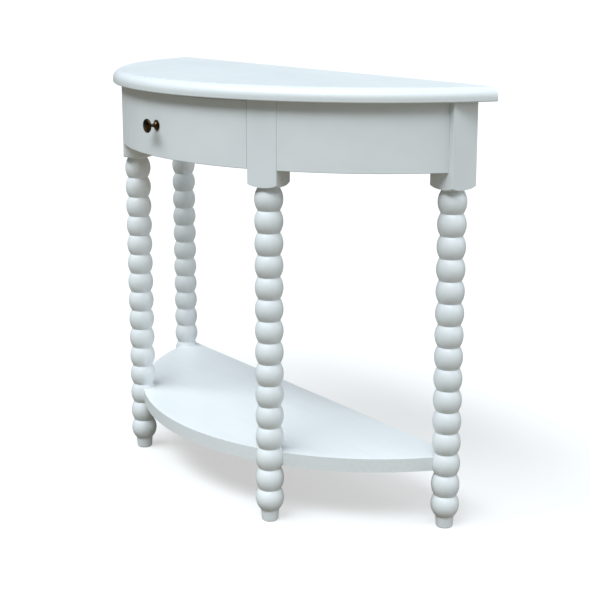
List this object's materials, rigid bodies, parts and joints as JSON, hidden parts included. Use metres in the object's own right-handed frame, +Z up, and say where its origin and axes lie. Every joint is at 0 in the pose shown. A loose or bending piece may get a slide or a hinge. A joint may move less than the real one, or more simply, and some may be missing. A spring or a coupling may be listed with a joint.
{
  "type": "curved console table",
  "caption": "Half-round white console table on bobbin-turned legs, with a bow-front drawer under a moulded top and a low half-round shelf between the legs.",
  "frame": {"origin": "on the floor, under the middle of the bounding box, midway between the tip of the knob and the back edge of the top", "axes": "+Z up; +Y to the straight back; -Y to the front, the way the drawer opens; +X to the right as seen from the front"},
  "size_m": [0.9616, 0.3734, 0.762],
  "materials": {
    "white_paint": "satin white paint on wood",
    "bare_wood": "sanded pale wood, clear sealed",
    "knob_bronze": "dark antique bronze",
    "zinc_steel": "zinc-plated steel"
  },
  "bodies": {
    "table": {"apron_left": "white_paint", "apron_right": "white_paint", "back_rail": "white_paint", "corner_block_left": "bare_wood", "corner_block_right": "bare_wood", "drawer_kicker_left": "bare_wood", "drawer_kicker_right": "bare_wood", "drawer_runner_left": "bare_wood", "drawer_runner_right": "bare_wood", "front_rail_lower": "bare_wood", "front_rail_upper": "bare_wood", "kicker_screws": "zinc_steel", "leg_back_left": "white_paint", "leg_back_right": "white_paint", "leg_bolt_nuts": "zinc_steel", "leg_bolt_washers": "zinc_steel", "leg_bolts": "zinc_steel", "leg_front_left": "white_paint", "leg_front_right": "white_paint", "shelf": "white_paint", "shelf_dowels": "bare_wood", "table_top": "white_paint", "top_block_front_left": "bare_wood", "top_block_front_right": "bare_wood", "top_block_middle_left": "bare_wood", "top_block_middle_right": "bare_wood", "top_block_rear_left": "bare_wood", "top_block_rear_right": "bare_wood", "top_screws": "zinc_steel"},
    "drawer": {"drawer_back": "bare_wood", "drawer_bottom": "bare_wood", "drawer_bottom_screws": "zinc_steel", "drawer_front": "white_paint", "drawer_side_left": "bare_wood", "drawer_side_right": "bare_wood", "drawer_stop": "bare_wood", "drawer_stop_screws": "zinc_steel", "knob": "knob_bronze", "knob_rose": "knob_bronze", "knob_screw": "zinc_steel"}
  },
  "joints": [
    {"name": "drawer_slide", "type": "slide", "parent": "table", "child": "drawer", "axis": [0, -1, 0], "range_m": [0, 0.18]}
  ]
}
